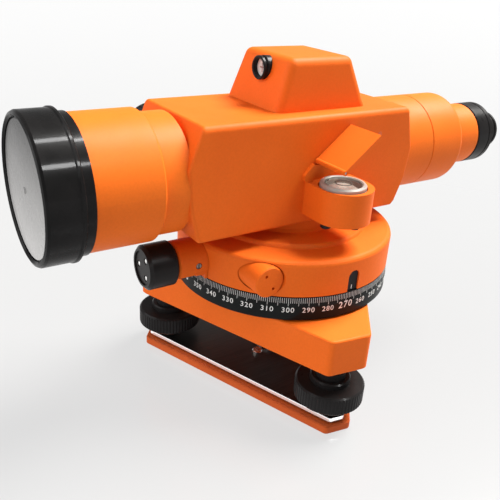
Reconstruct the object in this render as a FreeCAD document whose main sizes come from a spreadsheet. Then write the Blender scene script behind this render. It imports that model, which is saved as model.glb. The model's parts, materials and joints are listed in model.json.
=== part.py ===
import FreeCAD, Part
import math
import os

import Sketcher

# Automatic level (surveying instrument), in millimetres.
# Origin: centre of the base plate's underside, on the vertical axis. +Z is up, the line of sight
# runs along -Y (objective at -Y, eyepiece at +Y), and the circular vial stands out towards +X.

Vector = FreeCAD.Vector

# Driving dimensions: alias, value, meaning.
DIMENSIONS = [
    ("plate_thick", 4.75, "base plate thickness"),
    ("plate_apothem", 44.0, "axis to a long edge of the base plate"),
    ("plate_corner", 75.9, "axis to a cut corner of the base plate"),
    ("spring_gap", 1.0, "gap between base plate and spring plate"),
    ("spring_thick", 2.1, "spring plate thickness"),
    ("spring_apothem", 40.5, "axis to a long edge of the spring plate"),
    ("spring_corner", 73.9, "axis to a cut corner of the spring plate"),
    ("thread_minor_r", 6.75, "minor radius of the 5/8 inch tripod thread"),
    ("bush_r", 12.0, "tripod bush radius"),
    ("bush_flange_r", 23.0, "tripod bush flange radius"),
    ("bush_top", 10.0, "top of the tripod bush"),
    ("plate_screw_circle", 16.5, "radius on which the spring plate screws stand"),
    ("foot_circle", 63.05, "radius on which the foot screws stand"),
    ("ball_r", 3.4, "foot screw ball radius"),
    ("ball_height", 4.6, "height of the ball centres"),
    ("shank_r", 5.0, "foot screw shank radius"),
    ("foot_thread_r", 4.0, "foot screw thread radius"),
    ("wheel_r", 17.65, "foot wheel rim radius"),
    ("wheel_low", 14.2, "underside of a foot wheel"),
    ("wheel_high", 24.5, "top of a foot wheel's rim"),
    ("wheel_hub_r", 10.3, "foot wheel hub radius"),
    ("running_gap", 0.05, "radial clearance of a running fit"),
    ("tribrach_low", 36.6, "underside of the tribrach"),
    ("tribrach_high", 56.5, "top of the tribrach"),
    ("tribrach_apothem", 47.7, "axis to a long face of the tribrach"),
    ("tribrach_corner", 76.8, "axis to a cut corner of the tribrach"),
    ("foot_bush_r", 7.0, "radius of the bush that takes a foot screw"),
    ("foot_bush_high", 52.0, "top of a foot screw bush"),
    ("sleeve_r", 16.0, "centre sleeve radius"),
    ("sleeve_high", 82.0, "top of the centre sleeve"),
    ("axle_r", 10.0, "vertical axle radius"),
    ("circle_r", 58.0, "graduated circle radius"),
    ("circle_low", 57.1, "underside of the graduated circle"),
    ("circle_high", 69.6, "top of the graduated circle"),
    ("circle_wall", 4.0, "wall of the graduated circle"),
    ("drum_r", 57.7, "drum radius"),
    ("drum_low", 69.9, "underside of the drum"),
    ("drum_rim", 87.9, "height of the drum's rounded rim"),
    ("drum_high", 88.3, "top of the drum inside the rim"),
    ("drum_wall", 5.7, "wall of the drum"),
    ("platform_r", 42.5, "platform radius"),
    ("platform_high", 90.3, "top of the platform"),
    ("pedestal_r", 27.0, "pedestal radius"),
    ("motion_axis_x", 5.0, "sideways place of the horizontal motion shaft"),
    ("motion_axis_z", 77.7, "height of the horizontal motion shaft"),
    ("boss_gap", 0.4, "gap round the motion boss in the drum"),
    ("motion_boss_r", 10.4, "horizontal motion boss radius"),
    ("motion_boss_front", 71.0, "reach of the motion boss"),
    ("motion_boss_low", 72.4, "flat underside of the motion boss in front of the drum"),
    ("motion_boss_foot", 9.9, "half width of the motion boss where it meets the circle"),
    ("motion_knob_r", 11.1, "horizontal motion knob radius"),
    ("motion_knob_front", 86.2, "reach of the motion knob"),
    ("motion_shaft_r", 3.0, "motion shaft radius"),
    ("set_screw_reach", 60.8, "distance of the boss's set screw in front of the vertical axis"),
    ("pinion_r", 5.0, "motion pinion pitch radius"),
    ("crown_r", 30.0, "crown wheel pitch radius"),
    ("plug_axis_y", 40.5, "distance of the drag plug's axis in front of the vertical axis"),
    ("plug_axis_z", 78.75, "height of the drag plug's axis"),
    ("plug_r", 7.7, "drag plug radius"),
    ("plug_face_x", 46.4, "drag plug end face"),
    ("plug_gap", 0.45, "gap round the drag plug in the drum"),
    ("window_y", 1.5, "lengthways place of the reading window"),
    ("window_half", 3.4, "half width of the reading window"),
    ("window_shoulder", 77.6, "height where the reading window's round top starts"),
    ("housing_half", 28.6, "line of sight to the housing's vial side"),
    ("housing_far", 31.0, "line of sight to the housing's focus side"),
    ("housing_low", 96.6, "underside of the telescope housing"),
    ("housing_high", 149.7, "top of the telescope housing"),
    ("sight_height", 122.3, "height of the line of sight"),
    ("light_bore_r", 22.5, "radius of the light path's bore"),
    ("collar_r", 28.2, "front collar radius"),
    ("collar_front", 85.0, "reach of the front collar"),
    ("collar_seat", 71.5, "seat of the front collar in the housing"),
    ("barrel_r", 30.4, "objective barrel radius"),
    ("barrel_front", 131.0, "reach of the objective barrel"),
    ("barrel_bore_r", 26.5, "bore of the objective barrel"),
    ("lens_r", 23.0, "objective lens radius"),
    ("cap_r", 32.8, "objective cap radius"),
    ("cap_front", 136.4, "reach of the objective cap"),
    ("cap_bead_r", 33.3, "radius of the bead at the cap's mouth"),
    ("cap_step", 120.2, "where the cap steps down to its lip"),
    ("cap_lip_r", 31.1, "cap lip radius"),
    ("cap_lip", 115.9, "where the cap's lip ends"),
    ("cap_face_r", 30.0, "radius of the cap's recessed face"),
    ("rear_r", 26.0, "rear barrel radius"),
    ("rear_seat", 55.5, "seat of the rear barrel in the housing"),
    ("rear_seam", 80.0, "seam between rear barrel and eyepiece housing"),
    ("rear_shoulder", 105.0, "where the eyepiece housing steps down"),
    ("neck_r", 18.0, "radius of the eyepiece housing's neck"),
    ("neck_end", 128.3, "end of the eyepiece housing's neck"),
    ("diopter_r", 18.1, "diopter ring radius"),
    ("diopter_end", 142.2, "end of the diopter ring"),
    ("ocular_r", 11.4, "eyecup radius"),
    ("ocular_end", 155.6, "end of the eyecup"),
    ("cover_high", 174.1, "top of the compensator cover"),
    ("cover_wall", 2.5, "wall of the compensator cover"),
    ("well_x", -1.5, "sideways centre of the compensator"),
    ("well_y", 3.0, "lengthways centre of the compensator"),
    ("sight_tube_r", 5.6, "optical sight radius"),
    ("sight_tube_x", -1.5, "sideways place of the optical sight"),
    ("sight_tube_z", 167.3, "height of the optical sight"),
    ("vial_x", 41.6, "vial centre, sideways"),
    ("vial_y", 1.5, "vial centre, lengthways"),
    ("vial_housing_r", 14.2, "outer radius of the vial housing"),
    ("vial_housing_x", 41.6, "centre of the vial housing's round end, sideways"),
    ("vial_housing_y", 2.7, "centre of the vial housing's round end, lengthways"),
    ("vial_pocket_r", 11.9, "radius of the pocket that holds the vial"),
    ("vial_low", 102.0, "underside of the vial housing"),
    ("vial_floor", 105.0, "floor of the vial's pocket"),
    ("vial_rim", 118.6, "top of the vial housing"),
    ("vial_case_r", 11.3, "vial case radius"),
    ("vial_case_high", 120.5, "top of the vial case"),
    ("vial_glass_r", 9.2, "vial glass radius"),
    ("vial_screw_circle", 8.0, "radius on which the vial screws stand"),
    ("flap_pivot_y", -5.8, "mirror flap's pivot, lengthways"),
    ("flap_pivot_z", 128.5, "mirror flap's pivot height"),
    ("flap_thick", 1.8, "mirror flap thickness"),
    ("flap_pin_r", 0.6, "radius of the mirror flap's pin"),
    ("flap_pin_seat", 3.0, "depth of the pin's seat in the housing wall"),
    ("flap_long", 24.6, "mirror flap, pivot to free edge"),
    ("flap_inner_x", 29.1, "mirror flap's edge next to the housing"),
    ("flap_outer_x", 50.3, "mirror flap's outer edge"),
    ("focus_y", -56.0, "focus knob's axis, lengthways"),
    ("focus_z", 127.3, "focus knob's axis height"),
    ("focus_knob_r", 16.0, "focus knob radius"),
    ("focus_pinion_r", 4.8, "focus pinion pitch radius"),
]

BASE_TURN = -8.9        # degrees; direction of foot screw a seen from above
FOOT_ANGLES = {"a": 0.0, "b": 120.0, "c": 240.0}
FLAP_SLOPE = 38.5       # degrees; the mirror flap's rest angle
WHEEL_KNURLS = 60       # grooves round a foot wheel
FOCUS_KNURLS = 40       # grooves round the focus knob
NEAR_ZERO = 1e-9

document = FreeCAD.newDocument("automatic_level")
sheet = document.addObject("Spreadsheet::Sheet", "Dims")
sub_parts = []


class Size:
    """A length that carries the sheet expression it comes from."""

    def __init__(self, value, text):
        self.value = value
        self.text = text

    def combine(self, other, sign, value):
        return Size(value, "(%s %s %s)" % (self.text, sign, wording(other)))

    def __add__(self, other):
        return self.combine(other, "+", self.value + number(other))

    def __sub__(self, other):
        return self.combine(other, "-", self.value - number(other))

    def __mul__(self, other):
        return self.combine(other, "*", self.value * number(other))

    def __truediv__(self, other):
        return self.combine(other, "/", self.value / number(other))

    def __neg__(self):
        return Size(-self.value, "(0 - %s)" % self.text)

    def __radd__(self, other):
        return self + other

    def __rsub__(self, other):
        return -self + other


class Sizes:
    """The sheet's driving dimensions by name."""


def number(size):
    return size.value if isinstance(size, Size) else float(size)


def wording(size):
    return size.text if isinstance(size, Size) else repr(float(size))


def fill_sheet():
    sizes = Sizes()
    for row, (alias, value, meaning) in enumerate(DIMENSIONS, start=1):
        sheet.set("A%d" % row, str(value))
        sheet.setAlias("A%d" % row, alias)
        sheet.set("B%d" % row, meaning)
        setattr(sizes, alias, Size(value, "Dims.%s" % alias))
    document.recompute()
    return sizes


dim = fill_sheet()


# ---- building blocks ----

def bind(item, name, size):
    """Set a property and, when the size comes from the sheet, bind it to the sheet."""
    if isinstance(size, Size):
        item.setExpression(name, size.text)
    else:
        setattr(item, name, size)


def place(item, at=(0, 0, 0), rotation=None):
    """Put an item at a point whose coordinates may come from the sheet."""
    rotation = rotation or FreeCAD.Rotation()
    item.Placement = FreeCAD.Placement(Vector(*[number(value) for value in at]), rotation)
    for letter, value in zip("xyz", at):
        if isinstance(value, Size):
            item.setExpression("Placement.Base.%s" % letter, value.text)


def turn_to(direction):
    """Rotation that takes +Z to the given direction."""
    return FreeCAD.Rotation(Vector(0, 0, 1), Vector(*direction))


def new_body(label, at=(0, 0, 0), rotation=None):
    body = document.addObject("PartDesign::Body", label)
    body.Label = label
    place(body, at, rotation)
    sub_parts.append(body)
    return body


def new_sketch(body, plane, height=0.0):
    """Sketch on one of the body's own origin planes, lifted along the plane's normal."""
    sketch = body.newObject("Sketcher::SketchObject", "Sketch")
    base = [item for item in body.Origin.OriginFeatures if item.Role == plane][0]
    sketch.AttachmentSupport = [(base, "")]
    sketch.MapMode = "FlatFace"
    sketch.AttachmentOffset = FreeCAD.Placement(Vector(0, 0, number(height)), FreeCAD.Rotation())
    if isinstance(height, Size):
        sketch.setExpression("AttachmentOffset.Base.z", height.text)
    return sketch


def pin_point(sketch, line, end, point):
    """Hold a line's end at a point given by two sizes."""
    for kind, axis, size in (("DistanceX", -2, point[0]), ("DistanceY", -1, point[1])):
        if abs(number(size)) < NEAR_ZERO:
            sketch.addConstraint(Sketcher.Constraint("PointOnObject", line, end, axis))
            continue
        index = sketch.addConstraint(Sketcher.Constraint(kind, line, end, number(size)))
        if isinstance(size, Size):
            sketch.setExpression("Constraints[%d]" % index, size.text)


def draw_outline(sketch, points):
    """Closed outline of straight lines through the points."""
    count = len(points)
    corners = [Vector(number(u), number(v), 0) for u, v in points]
    for index in range(count):
        sketch.addGeometry(Part.LineSegment(corners[index], corners[(index + 1) % count]), False)
    for index in range(count):
        sketch.addConstraint(Sketcher.Constraint("Coincident", index, 2, (index + 1) % count, 1))
    for index, point in enumerate(points):
        pin_point(sketch, index, 1, point)


def pad(body, points, length, plane="XY_Plane", height=0.0, midplane=False):
    sketch = new_sketch(body, plane, height)
    draw_outline(sketch, points)
    feature = body.newObject("PartDesign::Pad", "Pad")
    feature.Profile = sketch
    bind(feature, "Length", length)
    feature.Midplane = midplane
    return feature


def turned(label, points, at=(0, 0, 0), along=(0, 0, 1), rotation=None):
    """Body turned about its own Z axis from an outline of (radius, height) points."""
    body = new_body(label, at, rotation or turn_to(along))
    sketch = new_sketch(body, "XZ_Plane")
    draw_outline(sketch, points)
    feature = body.newObject("PartDesign::Revolution", "Revolution")
    feature.Profile = sketch
    feature.ReferenceAxis = (sketch, ["V_Axis"])
    feature.Angle = 360.0
    return body


def joined(label, bodies):
    """One sub-part of several alike pieces that never move apart."""
    for body in bodies:
        sub_parts.remove(body)
    compound = document.addObject("Part::Compound", label)
    compound.Label = label
    compound.Links = bodies
    sub_parts.append(compound)
    return compound


def ring(label, inner, outer, low, high, at=(0, 0, 0), along=(0, 0, 1), bevel=0.0):
    """Turned ring or, with an inner radius of 0, a disc; bevel breaks its outer edges."""
    if bevel:
        points = [(inner, low), (outer - bevel, low), (outer, low + bevel),
                  (outer, high - bevel), (outer - bevel, high), (inner, high)]
    else:
        points = [(inner, low), (outer, low), (outer, high), (inner, high)]
    return turned(label, points, at, along)


def solid_feature(body, kind, at, rotation=None, **sizes):
    """Add or cut a primitive in a body."""
    feature = body.newObject("PartDesign::" + kind, kind)
    for name, size in sizes.items():
        bind(feature, name, size)
    place(feature, at, rotation)
    return feature


def drill(body, at, along, radius, depth):
    rotation = turn_to(along)
    return solid_feature(body, "SubtractiveCylinder", at, rotation, Radius=radius, Height=depth)


def boss(body, at, along, radius, length):
    rotation = turn_to(along)
    return solid_feature(body, "AdditiveCylinder", at, rotation, Radius=radius, Height=length)


def cut_block(body, low, length, width, height):
    return solid_feature(body, "SubtractiveBox", low, None, Length=length, Width=width, Height=height)


def add_block(body, low, length, width, height):
    return solid_feature(body, "AdditiveBox", low, None, Length=length, Width=width, Height=height)


def knurl(body, centre_r, low, radius, length, count):
    """Cut equal round-bottomed grooves about the body's own Z axis."""
    groove = solid_feature(body, "SubtractiveCylinder", (centre_r, 0, low), Radius=radius, Height=length)
    pattern = body.newObject("PartDesign::PolarPattern", "Knurling")
    pattern.Originals = [groove]
    axis = [item for item in body.Origin.OriginFeatures if item.Role == "Z_Axis"][0]
    pattern.Axis = (axis, [""])
    pattern.Angle = 360.0
    pattern.Occurrences = count
    body.Tip = pattern


def round_edges(body, radius, wanted, kind="Fillet"):
    """Round or break the edges of the body so far that the test picks."""
    document.recompute()
    before = body.Tip
    names = ["Edge%d" % (index + 1) for index, edge in enumerate(before.Shape.Edges) if wanted(edge)]
    if not names:
        raise RuntimeError("no edge to round on " + body.Label)
    feature = body.newObject("PartDesign::" + kind, kind)
    feature.Base = (before, names)
    if kind == "Fillet":
        feature.Radius = radius
    else:
        feature.Size = radius
    return feature


def is_straight_along(edge, axis):
    if not isinstance(edge.Curve, Part.Line):
        return False
    return abs(abs(edge.Curve.Direction.dot(Vector(*axis))) - 1) < 1e-6


def centre_of(edge):
    box = edge.BoundBox
    return box.Center


def is_circle_at(edge, radius, height):
    if not isinstance(edge.Curve, Part.Circle):
        return False
    return abs(edge.Curve.Radius - radius) < 1e-3 and abs(edge.Curve.Center.z - height) < 1e-3


def polar(radius, degrees, height):
    """Point at a radius, which may come from the sheet, and an angle about the vertical axis."""
    angle = math.radians(degrees)
    return (radius * math.cos(angle), radius * math.sin(angle), height)


def cut_triangle(apothem, corner):
    """Triangle with cut corners: one corner points along +X."""
    half = (apothem - corner / 2) / math.sin(math.radians(60))
    points = []
    for degrees in (0, 120, 240):
        cosine = math.cos(math.radians(degrees))
        sine = math.sin(math.radians(degrees))
        for side in (-1, 1):
            along = corner * cosine - half * (side * sine)
            across = corner * sine + half * (side * cosine)
            points.append((along, across))
    return points


base_rotation = FreeCAD.Rotation(Vector(0, 0, 1), BASE_TURN)
forward = (0, -1, 0)
backward = (0, 1, 0)
on_sight_line = (0, 0, dim.sight_height)


# ---- base: what rests on the tripod ----

def make_base_plate():
    body = new_body("base_plate", rotation=base_rotation)
    pad(body, cut_triangle(dim.plate_apothem, dim.plate_corner), dim.plate_thick)
    round_edges(body, 3.0, lambda edge: is_straight_along(edge, (0, 0, 1)))
    round_edges(body, 0.6, lambda edge: edge.BoundBox.ZLength < 1e-6, "Chamfer")
    drill(body, (0, 0, -1), (0, 0, 1), dim.bush_r, dim.plate_thick + 2)
    for degrees in FOOT_ANGLES.values():
        at = polar(dim.foot_circle, degrees, dim.ball_height - dim.ball_r - 0.1)
        drill(body, at, (0, 0, 1), dim.ball_r + 0.1, dim.plate_thick)
        drill(body, polar(dim.plate_screw_circle, degrees + 60, 1.5), (0, 0, 1), 1.5, dim.plate_thick)


def make_thread_bush():
    flange_high = dim.plate_thick + dim.spring_gap
    body = turned("thread_bush", [
        (dim.thread_minor_r, 0.0), (dim.bush_r, 0.0), (dim.bush_r, dim.plate_thick),
        (dim.bush_flange_r, dim.plate_thick), (dim.bush_flange_r, flange_high),
        (dim.bush_r, flange_high), (dim.bush_r, dim.bush_top - 0.8), (dim.bush_r - 0.8, dim.bush_top),
        (dim.thread_minor_r, dim.bush_top)], rotation=base_rotation)
    for degrees in FOOT_ANGLES.values():
        drill(body, polar(dim.plate_screw_circle, degrees + 60, 3.0), (0, 0, 1), 1.5, 5.0)


def make_spring_plate():
    body = new_body("spring_plate", rotation=base_rotation)
    low = dim.plate_thick + dim.spring_gap
    pad(body, cut_triangle(dim.spring_apothem, dim.spring_corner), dim.spring_thick, height=low)
    round_edges(body, 2.0, lambda edge: is_straight_along(edge, (0, 0, 1)))
    drill(body, (0, 0, 4.0), (0, 0, 1), dim.bush_r, 6.0)
    for degrees in FOOT_ANGLES.values():
        drill(body, polar(dim.foot_circle, degrees, 4.0), (0, 0, 1), dim.ball_r - 0.1, 6.0)
        drill(body, polar(dim.plate_screw_circle, degrees + 60, 4.0), (0, 0, 1), 1.5, 6.0)


def make_plate_screws():
    head_low = dim.plate_thick + dim.spring_gap + dim.spring_thick
    screws = []
    for name, degrees in FOOT_ANGLES.items():
        at = polar(dim.plate_screw_circle, degrees + 60 + BASE_TURN, 0)
        body = turned("plate_screw_" + name, [
            (0.0, 1.6), (1.5, 1.6), (1.5, head_low), (3.0, head_low), (3.0, head_low + 1.2),
            (2.4, head_low + 1.8), (0.0, head_low + 1.8)], at)
        cut_block(body, (-3.5, -0.35, head_low + 1.1), 7.0, 0.7, 1.0)
        screws.append(body)
    joined("plate_screws", screws)


# ---- foot screws ----

def make_foot_screws():
    for name, degrees in FOOT_ANGLES.items():
        at = polar(dim.foot_circle, degrees + BASE_TURN, 0)
        shank = turned("foot_shank_" + name, [
            (0.0, dim.ball_height), (2.4, dim.ball_height), (2.4, 8.8), (dim.shank_r - 0.6, 8.8),
            (dim.shank_r, 9.4), (dim.shank_r, 32.6), (dim.foot_thread_r, 33.2),
            (dim.foot_thread_r, 49.4), (dim.foot_thread_r - 0.6, 50.0), (0.0, 50.0)], at)
        solid_feature(shank, "AdditiveSphere", (0, 0, dim.ball_height), Radius=dim.ball_r)
        bore = dim.shank_r + dim.running_gap
        high = dim.wheel_high
        wheel = turned("foot_wheel_" + name, [
            (bore, dim.wheel_low), (dim.wheel_r - 1.2, dim.wheel_low),
            (dim.wheel_r, dim.wheel_low + 1.2),
            (dim.wheel_r, high - 1.0), (dim.wheel_r - 1.0, high), (dim.wheel_hub_r, high),
            (dim.wheel_hub_r, high + 2.2), (dim.wheel_hub_r - 0.7, high + 2.9), (7.6, high + 2.9),
            (7.6, high + 6.9), (6.9, high + 7.6), (bore, high + 7.6)], at)
        knurl(wheel, dim.wheel_r + 0.42, 10.0, 0.72, 20.0, WHEEL_KNURLS)


# ---- tribrach ----

def make_tribrach():
    body = new_body("tribrach", rotation=base_rotation)
    height = dim.tribrach_high - dim.tribrach_low
    low = dim.tribrach_low
    pad(body, cut_triangle(dim.tribrach_apothem, dim.tribrach_corner), height, height=low)
    round_edges(body, 4.0, lambda edge: is_straight_along(edge, (0, 0, 1)))
    round_edges(body, 1.2, lambda edge: edge.BoundBox.ZMin > number(dim.tribrach_high) - 0.01)
    round_edges(body, 1.0, lambda edge: edge.BoundBox.ZMax < number(low) + 0.01, "Chamfer")
    # Hollow underneath, round a hub that carries the centre sleeve.
    cut_ring(body, 23.0, 41.0, low - 1, low + 12)
    drill(body, (0, 0, low - 1), (0, 0, 1), 24.0, 4.4)
    drill(body, (0, 0, low - 1), (0, 0, 1), dim.sleeve_r, height + 2)
    for degrees in FOOT_ANGLES.values():
        at = polar(dim.foot_circle, degrees, low - 1)
        drill(body, at, (0, 0, 1), dim.foot_bush_r, dim.foot_bush_high - low + 1)
        drill(body, at, (0, 0, 1), dim.foot_thread_r + 0.4, 19.0)


def cut_ring(body, inner, outer, low, high):
    """Annular cut about the body's Z axis."""
    sketch = new_sketch(body, "XZ_Plane")
    draw_outline(sketch, [(inner, low), (outer, low), (outer, high), (inner, high)])
    feature = body.newObject("PartDesign::Groove", "Groove")
    feature.Profile = sketch
    feature.ReferenceAxis = (sketch, ["V_Axis"])
    feature.Angle = 360.0


def make_tribrach_fittings():
    bushes = []
    for name, degrees in FOOT_ANGLES.items():
        at = polar(dim.foot_circle, degrees + BASE_TURN, 0)
        bushes.append(ring("foot_bush_" + name, dim.foot_thread_r + dim.running_gap, dim.foot_bush_r,
                           dim.tribrach_low, dim.foot_bush_high, at))
    joined("foot_bushes", bushes)
    bore = dim.axle_r + dim.running_gap
    turned("centre_sleeve", [
        (bore, 37.0), (dim.sleeve_r, 37.0), (dim.sleeve_r, dim.tribrach_high), (26.0, dim.tribrach_high),
        (26.0, dim.tribrach_high + 0.5), (dim.sleeve_r, dim.tribrach_high + 0.5),
        (dim.sleeve_r, dim.sleeve_high), (bore, dim.sleeve_high)])


# ---- graduated circle ----

def make_graduated_circle():
    inner = dim.circle_r - dim.circle_wall
    turned("graduated_circle", [
        (dim.sleeve_r + dim.running_gap, dim.circle_low), (dim.circle_r - 0.6, dim.circle_low),
        (dim.circle_r, dim.circle_low + 0.6), (dim.circle_r, dim.circle_high - 5.0),
        (dim.circle_r - 0.45, dim.circle_high - 0.3), (dim.circle_r - 0.75, dim.circle_high),
        (inner, dim.circle_high), (inner, dim.circle_low + 2.9),
        (dim.sleeve_r + dim.running_gap, dim.circle_low + 2.9)])


# ---- drum: rotating lower housing ----

def make_drum():
    high = dim.drum_high
    inner = dim.drum_r - dim.drum_wall
    body = turned("drum_housing", [
        (dim.axle_r, high - 5), (inner - 2, high - 5), (inner, high - 7), (inner, dim.drum_low),
        (dim.drum_r, dim.drum_low), (dim.drum_r, high - 2.6), (dim.drum_r - 0.35, high - 1.5),
        (dim.drum_r - 1.0, high - 0.8), (dim.drum_r - 2.2, dim.drum_rim), (44.0, high),
        (dim.axle_r, high)])
    boss_at = (dim.motion_axis_x, -dim.motion_boss_front, dim.motion_axis_z)
    drill(body, boss_at, backward, dim.motion_boss_r + dim.boss_gap, 24.0)
    foot = dim.motion_boss_foot + dim.boss_gap
    cut_block(body, (dim.motion_axis_x - foot, -dim.motion_boss_front, dim.drum_low - 1),
              foot * 2, 24.0, dim.motion_axis_z - dim.drum_low + 1)
    drill(body, (20.0, -dim.plug_axis_y, dim.plug_axis_z), (1, 0, 0), dim.plug_r + dim.plug_gap, 40.0)
    # Reading window: a slot with a round top, through the wall.
    low = dim.drum_low - 1
    cut_block(body, (50.0, dim.window_y - dim.window_half, low), 9.0, dim.window_half * 2,
              dim.window_shoulder - low)
    drill(body, (50.0, dim.window_y, dim.window_shoulder), (1, 0, 0), dim.window_half, 9.0)


def make_axle():
    turned("vertical_axle", [
        (0.0, 30.5), (5.4, 30.5), (6.0, 31.1), (6.0, 36.5), (dim.axle_r, 36.5), (dim.axle_r, 82.1),
        (24.0, 82.1), (24.0, dim.drum_high - 5), (dim.axle_r, dim.drum_high - 5),
        (dim.axle_r, dim.drum_high), (0.0, dim.drum_high)])
    nut = ring("axle_nut", 6.0, 13.0, 31.6, 36.5, bevel=0.8)
    for degrees in (0, 90, 180, 270):
        rotation = FreeCAD.Rotation(Vector(0, 0, 1), degrees)
        offset = rotation.multVec(Vector(11.2, -1.5, 30.0))
        solid_feature(nut, "SubtractiveBox", tuple(offset), rotation, Length=4.0, Width=3.0, Height=8.0)


def make_reading_window():
    """Dark insert of the reading window, just behind the drum's surface."""
    half = dim.window_half
    body = new_body("reading_window")
    low = dim.drum_low + 0.1
    add_block(body, (54.4, dim.window_y - half, low), 2.2, half * 2, dim.window_shoulder - low)
    boss(body, (54.4, dim.window_y, dim.window_shoulder), (1, 0, 0), half, 2.2)


def make_motion_drive():
    """Slow horizontal motion: knob and pinion on one shaft, over a crown wheel on the centre sleeve."""
    x, z = dim.motion_axis_x, dim.motion_axis_z
    at = (x, 0, z)
    front = dim.motion_boss_front
    bore = dim.motion_shaft_r + dim.running_gap
    boss_body = turned("motion_boss", [
        (bore, 50.2), (dim.motion_boss_r, 50.2), (dim.motion_boss_r, front - 0.7),
        (dim.motion_boss_r - 0.7, front), (bore, front)], at, forward)
    # In the boss's own frame X still points to +X, Y up and Z forwards. Straight cheeks reach down to
    # the circle inside the drum's wall; in front of the wall the boss ends higher.
    foot = dim.motion_boss_foot
    for left in (-foot, 4.0):
        add_block(boss_body, (left, dim.drum_low - z, 50.2), foot - 4.0, z - dim.drum_low, 12.0)
    cut_block(boss_body, (-15.0, dim.drum_low - z - 12.0, 50.0), 30.0, 12.0, 24.0)
    cut_block(boss_body, (-15.0, dim.drum_low - z - 12.0, 57.0), 30.0,
              dim.motion_boss_low - dim.drum_low + 12.0, 20.0)
    drill(boss_body, (7.0, 0, dim.set_screw_reach), (1, 0, 0), 1.7, 5.0)
    screw = turned("boss_set_screw", [(0.0, 0.0), (1.7, 0.0), (1.7, 2.7), (1.3, 3.1), (0.0, 3.1)],
                   (x + 7.0, -dim.set_screw_reach, z), (1, 0, 0))
    cut_block(screw, (-2.0, -0.3, 2.4), 4.0, 0.6, 1.0)
    knob_front, radius = dim.motion_knob_front, dim.motion_knob_r
    knob = turned("motion_knob", [
        (dim.motion_shaft_r, front + 0.4), (radius - 0.9, front + 0.4), (radius, front + 1.3),
        (radius, knob_front - 1.5), (radius - 1.5, knob_front), (radius - 2.6, knob_front),
        (radius - 2.6, knob_front - 0.7), (0.0, knob_front - 0.7), (0.0, knob_front - 2.2),
        (dim.motion_shaft_r, knob_front - 2.2)], at, forward)
    for degrees in (60, 180, 300):
        drill(knob, polar(5.2, degrees, knob_front - 1.5), (0, 0, 1), 1.6, 2.0)
    shaft_r, teeth_r = dim.motion_shaft_r, dim.pinion_r
    turned("motion_shaft", [
        (0.0, 26.0), (shaft_r, 26.0), (shaft_r, 27.0), (teeth_r, 27.0), (teeth_r, 32.0), (shaft_r, 32.0),
        (shaft_r, knob_front - 2.2), (0.0, knob_front - 2.2)], at, forward)
    bore = dim.sleeve_r + dim.running_gap
    crown_high = z - dim.pinion_r - 0.1
    turned("crown_wheel", [
        (bore, 66.0), (22.0, 66.0), (26.0, crown_high - 3), (33.5, crown_high - 3), (33.5, crown_high),
        (26.0, crown_high), (22.0, crown_high + 1), (bore, crown_high + 1)])


def make_drag_parts():
    """Spring-loaded brake that gives the motion shaft its drag, closed by a two-hole plug."""
    at = (0, -dim.plug_axis_y, dim.plug_axis_z)
    shaft_side = dim.motion_axis_x + dim.motion_shaft_r
    turned("drag_plug", [
        (4.05, 22.0), (dim.plug_r, 22.0), (dim.plug_r, dim.plug_face_x - 0.5),
        (dim.plug_r - 0.5, dim.plug_face_x), (0.0, dim.plug_face_x), (0.0, 40.0), (4.05, 40.0)],
        at, (1, 0, 0), FreeCAD.Rotation(Vector(0, 1, 0), 90))
    plug = sub_parts[-1]
    # In the plug's own frame X points down and Y to +Y.
    for side in (-1, 1):
        drill(plug, (side * 3.55, side * 2.15, dim.plug_face_x - 2.0), (0, 0, 1), 0.8, 3.0)
    ring("drag_plunger", 0.0, 4.0, shaft_side + 0.1, 34.0, at, (1, 0, 0), bevel=0.5)


def make_platform():
    high = dim.platform_high
    turned("azimuth_platform", [
        (0.0, dim.drum_high), (dim.platform_r + 0.6, dim.drum_high), (dim.platform_r, high - 0.8),
        (dim.platform_r - 0.8, high), (dim.pedestal_r + 1.5, high), (dim.pedestal_r, high + 1.5),
        (dim.pedestal_r, dim.housing_low), (0.0, dim.housing_low)])


# ---- telescope ----

def make_main_housing():
    body = new_body("main_housing")
    low, high = dim.housing_low, dim.housing_high
    outline = [(-69.0, low), (50.6, low), (52.6, low + 2), (57.4, low + 14.9), (59.2, low + 31.4),
               (53.0, high), (-67.4, high), (-74.5, low + 34.4), (-73.0, low + 15.4)]
    pad(body, outline, dim.housing_half + dim.housing_far, "YZ_Plane", -dim.housing_far)
    top = number(high) - 0.01
    round_edges(body, 3.0, lambda edge: edge.BoundBox.ZMin > top and is_straight_along(edge, (0, 1, 0)))
    round_edges(body, 1.6, is_end_edge)
    round_edges(body, 1.2, lambda edge: edge.BoundBox.ZMax < number(low) + 0.01
                and is_straight_along(edge, (0, 1, 0)))
    bore_start = (0, -80.0, dim.sight_height)
    drill(body, bore_start, backward, dim.light_bore_r, 150.0)
    drill(body, bore_start, backward, dim.collar_r, -dim.collar_seat + 80.0)
    drill(body, (0, dim.rear_seat, dim.sight_height), backward, dim.rear_r, 10.0)
    # Well for the compensator, from the top into the light path.
    cut_block(body, (dim.well_x - 13, dim.well_y - 14, 135.0), 26.0, 28.0, 20.0)
    # Bore for the focus shaft, from the -X side.
    drill(body, (-dim.housing_far - 1, dim.focus_y, dim.focus_z), (1, 0, 0), 6.0, 17.0)
    seat_x = dim.housing_half - dim.flap_pin_seat
    drill(body, (seat_x, dim.flap_pivot_y, dim.flap_pivot_z), (1, 0, 0), dim.flap_pin_r, 5.0)


def is_end_edge(edge):
    """Edges that run down the housing's pointed end faces."""
    centre = centre_of(edge)
    at_side = abs(centre.x) > number(dim.housing_half) - 0.5
    at_end = centre.y < -60.0 or centre.y > 50.7
    straight = isinstance(edge.Curve, Part.Line)
    leans = straight and abs(edge.Curve.Direction.x) < 1e-6 and abs(edge.Curve.Direction.z) > 0.2
    return at_side and at_end and leans


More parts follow.
